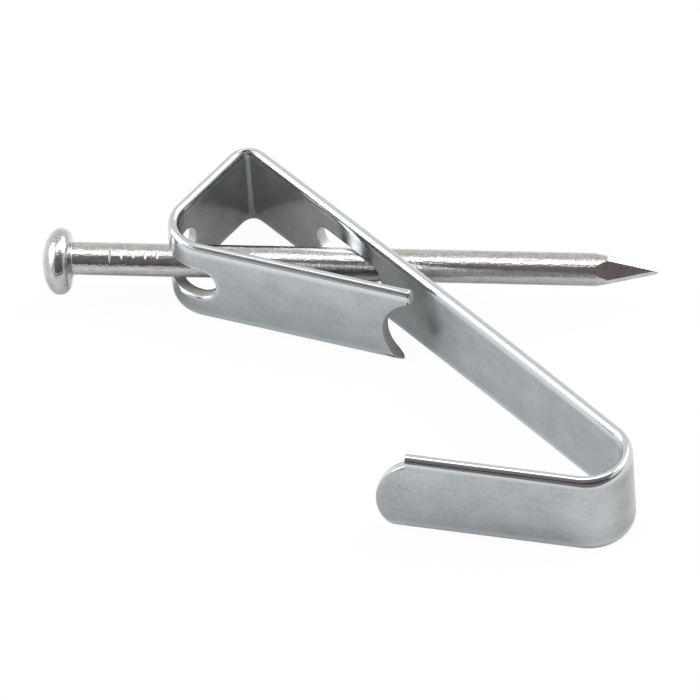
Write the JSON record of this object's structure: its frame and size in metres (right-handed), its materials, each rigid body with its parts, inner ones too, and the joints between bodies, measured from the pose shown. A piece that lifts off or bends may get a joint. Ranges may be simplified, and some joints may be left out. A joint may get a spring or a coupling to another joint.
{
  "type": "picture hanger",
  "caption": "Picture hanger bent from one flat steel strip: a triangular nail guide, a back leg for the wall and an upturned hook with a rounded lip, with its slanted wire nail.",
  "frame": {"origin": "middle of the back leg's wall face, at mid-width", "axes": "+X down the back leg from the top bend to the hook, +Y out of the wall face into the wall, +Z across the strip's width; the hanger lies on one long edge, as pictured"},
  "size_m": [0.0439, 0.0295, 0.0064],
  "materials": {
    "strip_zinc": "satin bright zinc plating with glossy rolled edges",
    "nail_zinc": "glossy bright zinc plating"
  },
  "bodies": {
    "strip": {"bent_strip": "strip_zinc"},
    "nail": {"nail": "nail_zinc"}
  },
  "joints": [
    {"name": "nail_slide", "type": "slide", "parent": "strip", "child": "nail", "axis": [0.7157, 0.6984, 0], "range_m": [-0.0315, 0.006]}
  ]
}
